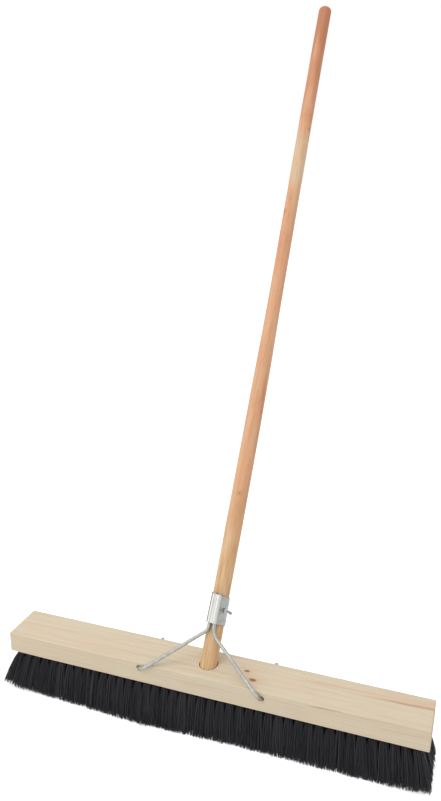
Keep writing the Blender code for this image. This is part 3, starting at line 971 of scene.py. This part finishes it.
# %% The bolt's steel
DARK_END_SPAN = (0.0165, 0.0185)
bolt_steel, bolt_shader, place = start_finish("plated_steel")
wear = cloud(place, (420.0, 420.0, 420.0), 3.0)
steel_colour = blend(soft_step(wear, 0.35, 0.65), paint(206, 206, 204), paint(232, 232, 228))
# The bolt's colour is darker beyond the nut.
dark_end = soft_step(axis_of(place, 2), *DARK_END_SPAN)
steel_colour = blend(0.85 * dark_end, steel_colour, paint(132, 132, 130))
bolt_shader.inputs["Metallic"].default_value = 1.0
feed(bolt_shader, Base_Color=steel_colour, Roughness=0.24 + 0.24 * wear, Normal=bump(wear, 0.00006))
print("steel nodes:", len(bolt_steel.node_tree.nodes))

# %% Cut the bolt
HEAD_RADIUS = 0.0034
HEAD_HEIGHT = 0.0023
HEAD_RINGS = 10
BOLT_LENGTH = 0.041
BOLT_SIDES = 24
THREAD_PITCH = 0.0006
THREAD_DEPTH = 0.00036
THREAD_LENGTH = 0.018
RINGS_A_PITCH = 8
PEEN_LENGTH = 0.0045
PEEN_SPREAD = 0.0005
PEEN_DROOP = 0.0004


def bolt_seat(radius):
    """Where a round of this radius on the tilted bolt clears the sleeve, from the handle's axis."""
    return (SLEEVE_BORE + SHEET) / math.cos(BOLT_TILT) + radius * math.tan(BOLT_TILT) + SEAT_GAP


HEAD_SEAT = bolt_seat(HEAD_RADIUS)
BOLT_END = BOLT_LENGTH - HEAD_SEAT


def thread_ring(level):
    """A ring of the shank, in a saw-tooth on the thread and round elsewhere."""
    ring = circle(BOLT_RADIUS, level, BOLT_SIDES)
    into = min((level - BOLT_END + THREAD_LENGTH) / THREAD_PITCH, 1.0)
    point_off = max(level - BOLT_END + THREAD_DEPTH, 0.0)
    peened = max(1 + (level - BOLT_END) / PEEN_LENGTH, 0.0)
    for i, point in enumerate(ring):
        turn = (level / THREAD_PITCH - i / BOLT_SIDES) % 1.0
        depth = THREAD_DEPTH * abs(2 * turn - 1) * max(into, 0.0) * (1 - peened)
        point.xy *= 1 - (max(depth, point_off) - PEEN_SPREAD * peened) / BOLT_RADIUS
        point.x += PEEN_DROOP * peened
    return ring


dome = [math.pi / 2 * i / HEAD_RINGS for i in range(1, HEAD_RINGS + 1)]
rings = [
    circle(HEAD_RADIUS * math.sin(turn), -HEAD_SEAT - HEAD_HEIGHT * math.cos(turn), BOLT_SIDES)
    for turn in dome
]
rings.append(circle(BOLT_RADIUS, -HEAD_SEAT, BOLT_SIDES))
steps = round(THREAD_LENGTH / THREAD_PITCH * RINGS_A_PITCH)
rings += [thread_ring(BOLT_END - THREAD_LENGTH * (1 - i / steps)) for i in range(steps + 1)]
bolt = put("slotted_bolt", loft(rings), BOLT_FRAME)
print("rings in the bolt:", len(rings))

# %% Slot its head
SLOT_WIDTH = 0.0007
SLOT_DEPTH = 0.0009
SLOT_TURN = Matrix.Rotation(math.radians(35), 3, "Z")
slot_cut = bmesh.new()
bmesh.ops.create_cube(slot_cut, size=1.0)
bmesh.ops.scale(slot_cut, vec=(SLOT_WIDTH, 3 * HEAD_RADIUS, 2 * SLOT_DEPTH), verts=slot_cut.verts)
bmesh.ops.rotate(slot_cut, matrix=SLOT_TURN, verts=slot_cut.verts)
bmesh.ops.translate(slot_cut, vec=(0, 0, -HEAD_SEAT - HEAD_HEIGHT), verts=slot_cut.verts)
carve(bolt, put("slot_cut", slot_cut, BOLT_FRAME))
smooth(bolt, 45)
mount(bolt, bolt_steel, "broom", "clamp_bolt")

# %% Cut the nut
NUT_FLATS = 0.0060
NUT_CORNER = NUT_FLATS / 2 / math.cos(math.pi / 6)
NUT_HEIGHT = 0.0026
NUT_BORE = 0.00193
NUT_FACE = 0.00292
CORNER_OUT = 0.0007
CORNER_DROP = 0.0004
FLARE_OUT = 0.0006
FLARE_DEPTH = 0.0002
nut_low = bolt_seat(NUT_CORNER)
nut_top = nut_low + NUT_HEIGHT
bar = bmesh.new()
bmesh.ops.create_cone(
    bar, cap_ends=True, segments=6, radius1=NUT_CORNER, radius2=NUT_CORNER, depth=2 * NUT_HEIGHT,
    matrix=Matrix.Translation((0, 0, nut_low + NUT_HEIGHT / 2)) @ Matrix.Rotation(math.pi / 2, 4, "Z"),
)
nut = put("hexagon_nut", bar, BOLT_FRAME)
barrel = turned(
    [
        (NUT_FACE, nut_low), (NUT_FACE + CORNER_OUT, nut_low + CORNER_DROP),
        (NUT_FACE + CORNER_OUT, nut_top - CORNER_DROP), (NUT_FACE, nut_top),
    ],
    72,
)
carve(nut, put("barrel", barrel, BOLT_FRAME), "INTERSECT")
flare_rise = FLARE_OUT - FLARE_DEPTH
bore = turned(
    [
        (NUT_BORE + FLARE_OUT, nut_low - flare_rise), (NUT_BORE, nut_low + FLARE_DEPTH),
        (NUT_BORE, nut_top - FLARE_DEPTH), (NUT_BORE + FLARE_OUT, nut_top + flare_rise),
    ],
    36,
)
carve(nut, put("bore", bore, BOLT_FRAME))
smooth(nut, 25)
mount(nut, bolt_steel, "nut", "clamp_nut")

# %% [markdown]
# ## Black fibre
# The bristles are stiff black filaments with a slight sheen. Each filament carries its own shade as
# a number on its points, so that the mass breaks up into fine upright streaks, as real fibre does.

# %% The fibre's finish
fibre, fibre_shader, place = start_finish("black_fibre")
shade = place.node("ShaderNodeAttribute", {"attribute_name": "filament_shade"}, {}, "Fac")
dust = cloud(place, (160.0, 160.0, 30.0), 2.0)
fibre_colour = blend(shade, paint(34, 34, 37), paint(68, 68, 75))
fibre_colour = blend(0.20 * soft_step(dust, 0.52, 0.72), fibre_colour, paint(70, 69, 70))
fibre_shader.inputs["Specular IOR Level"].default_value = 0.22
feed(fibre_shader, Base_Color=fibre_colour, Roughness=0.42 + 0.20 * dust)
print("fibre nodes:", len(fibre.node_tree.nodes))

# %% [markdown]
# ## The tufts
# Five rows of drilled holes each hold a folded bundle of filaments. A particle system could grow them,
# but it leaves no mesh to hand on, so each filament is a slim three-sided tube, worked out for a whole
# row at once. It leaves its hole in a round bundle and fans out until its tuft meets the next ones in
# a rectangular cell, leans out with its row and splays at the ends of the platform, where brooms
# spread and wear first. All were trimmed to one length, so tips that splay out end a little higher.
# Within a cell the filaments stand in a sequence of evenly spread points, so that no bare gap opens.

# %% How the bristles lean
ROW_END = (TUFTS - 1) / 2 * TUFT_PITCH
LEFT_SPLAY = 0.0200
RIGHT_SPLAY = 0.0130
SPLAY_REACH = 0.055
PRESS = 0.0055
PRESS_X = -0.088
PRESS_REACH = 0.075
PRESS_ROWS = 3


def splay(x):
    """How far the bristles lean out along the platform: most at its two ends."""
    to_left = LEFT_SPLAY * np.exp((-ROW_END - x) / SPLAY_REACH)
    return RIGHT_SPLAY * np.exp((x - ROW_END) / SPLAY_REACH) - to_left


def press(x, number):
    """How far use has pressed a row forward, left of the handle: most in front."""
    return PRESS * np.exp(-(((x - PRESS_X) / PRESS_REACH) ** 2)) * max(1 - (number - 1) / PRESS_ROWS, 0)


print(f"the left end splays {-splay(-ROW_END) * 1000:.0f} mm, the right end {splay(ROW_END) * 1000:.0f} mm")

# %% The lines of one row
FILAMENTS = 180
ROOT_RADIUS = 0.0042
CELL = np.array((0.0078, 0.0076))
EVEN_STEPS = np.array((0.7548777, 0.5698403))
STEPS = np.array((-0.05, 0.22, 0.60, 1.0))
FAN_POWER = 0.40
LEAN_POWER = 0.78
ROW_TIP_PITCH = 0.0152
LEAN_SPREAD = 0.0005
TUFT_LEAN_SPREAD = 0.0005
BOW_SPREAD = 0.0005
STRAYS = 0.02
STRAY_LEAN = 2.5
RAGGED_LEAST = 0.0003
RAGGED_MEAN = 0.0010
RAGGED_MOST = 0.0030
WORN = 0.0030
WORN_REACH = 0.015


def filament_lines(number, chance):
    """The middle line of each filament in a row, as points by filament and step."""
    places = np.repeat(np.array(tuft_places(number)), FILAMENTS, axis=0)
    count = len(places)
    tufts = count // FILAMENTS
    order = np.tile(np.arange(FILAMENTS), tufts)[:, None]
    offset = np.repeat(chance.random((tufts, 2)), FILAMENTS, axis=0)
    spot = 2 * ((order * EVEN_STEPS + offset) % 1.0) - 1
    root = ROOT_RADIUS * spot * (np.abs(spot).max(axis=1) / np.linalg.norm(spot, axis=1))[:, None]
    stray = np.where(chance.random(count) < STRAYS, STRAY_LEAN, 1.0)[:, None]
    lean = stray * chance.normal(0, LEAN_SPREAD, (count, 2))
    lean += np.repeat(chance.normal(0, TUFT_LEAN_SPREAD, (tufts, 2)), FILAMENTS, axis=0)
    spread_x = places[:, 0] * ROW_END / places[:, 0].max()
    outward = splay(spread_x + CELL[0] * spot[:, 0])
    lean[:, 0] += outward + spread_x - places[:, 0]
    lean[:, 1] += places[:, 1] * (ROW_TIP_PITCH / ROW_PITCH - 1)
    lean[:, 1] -= press(places[:, 0], number)
    bow = chance.normal(0, BOW_SPREAD, (count, 2))
    ragged = RAGGED_LEAST + np.minimum(chance.exponential(RAGGED_MEAN, count), RAGGED_MOST)
    ragged += WORN * np.exp((np.abs(spread_x) - ROW_END) / WORN_REACH)
    length = (BLOCK_BOTTOM - ragged) * np.sqrt(1 - (outward / TRIM) ** 2)
    share = np.clip(STEPS, 0, 1)[None, :, None]
    level = (places + root)[:, None, :] + (CELL * spot - root)[:, None, :] * share**FAN_POWER
    level = level + lean[:, None, :] * share**LEAN_POWER + bow[:, None, :] * np.sin(math.pi * share)
    height = BLOCK_BOTTOM - length[:, None] * STEPS[None, :]
    return np.concatenate((level, height[:, :, None]), axis=2)


print("filaments in a tuft:", FILAMENTS)

# %% The mesh of one row
SIDES = 3
FILAMENT_RADII = (0.00034, 0.00052)
SHADE_MIDDLE = 0.40
SHADE_SPREAD = 0.16
TUFT_SHADE_SPREAD = 0.05


def filament_mesh(name, lines, chance):
    """Slim tubes round the lines, each with its own thickness and shade."""
    count, steps = lines.shape[:2]
    radius = chance.uniform(*FILAMENT_RADII, count)
    turn = chance.uniform(0, math.tau, count)[:, None] + math.tau / SIDES * np.arange(SIDES)[None, :]
    ring = np.stack((np.cos(turn), np.sin(turn), np.zeros_like(turn)), axis=2)
    points = lines[:, :, None, :] + (radius[:, None, None] * ring)[:, None, :, :]
    edges = [(i, (i + 1) % SIDES) for i in range(SIDES)]
    skin = [
        (low + i, low + SIDES + i, low + SIDES + j, low + j)
        for low in range(0, (steps - 1) * SIDES, SIDES)
        for i, j in edges
    ]
    per_filament = steps * SIDES
    caps = [tuple(range(SIDES)), tuple(range(per_filament - 1, per_filament - 1 - SIDES, -1))]
    faces = [
        tuple(corner + start for corner in face)
        for start in range(0, count * per_filament, per_filament)
        for face in caps + skin
    ]
    mesh = bpy.data.meshes.new(name)
    mesh.from_pydata(points.reshape(-1, 3).tolist(), [], faces)
    shade = mesh.attributes.new("filament_shade", "FLOAT", "POINT")
    tones = chance.normal(SHADE_MIDDLE, SHADE_SPREAD, count)
    tones += np.repeat(chance.normal(0, TUFT_SHADE_SPREAD, count // FILAMENTS), FILAMENTS)
    values = np.repeat(np.clip(tones, 0, 1), per_filament)
    shade.data.foreach_set("value", values.astype(np.float32))
    mesh.shade_smooth()
    return mesh


print("faces on a filament:", SIDES * (len(STEPS) - 1) + 2)

# %% Grow all rows
SEED = 11
chance = np.random.default_rng(SEED)
for number in row_numbers:
    name = f"tuft_row_{number}"
    row = bpy.data.objects.new(name, filament_mesh(name, filament_lines(number, chance), chance))
    bpy.context.scene.collection.objects.link(row)
    mount(row, fibre, "broom", f"bristle_row_{number}")

# %% [markdown]
# ## The size
# The dressed broom has to fill the same box as its solids, so both boxes are written down.

# %% Write both boxes
visual_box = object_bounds()
boxes = {"cad": cad_box, "visual": visual_box}
for name, (low, high) in boxes.items():
    print(name, [round((b - a) * 1000, 1) for a, b in zip(low, high)], "mm")
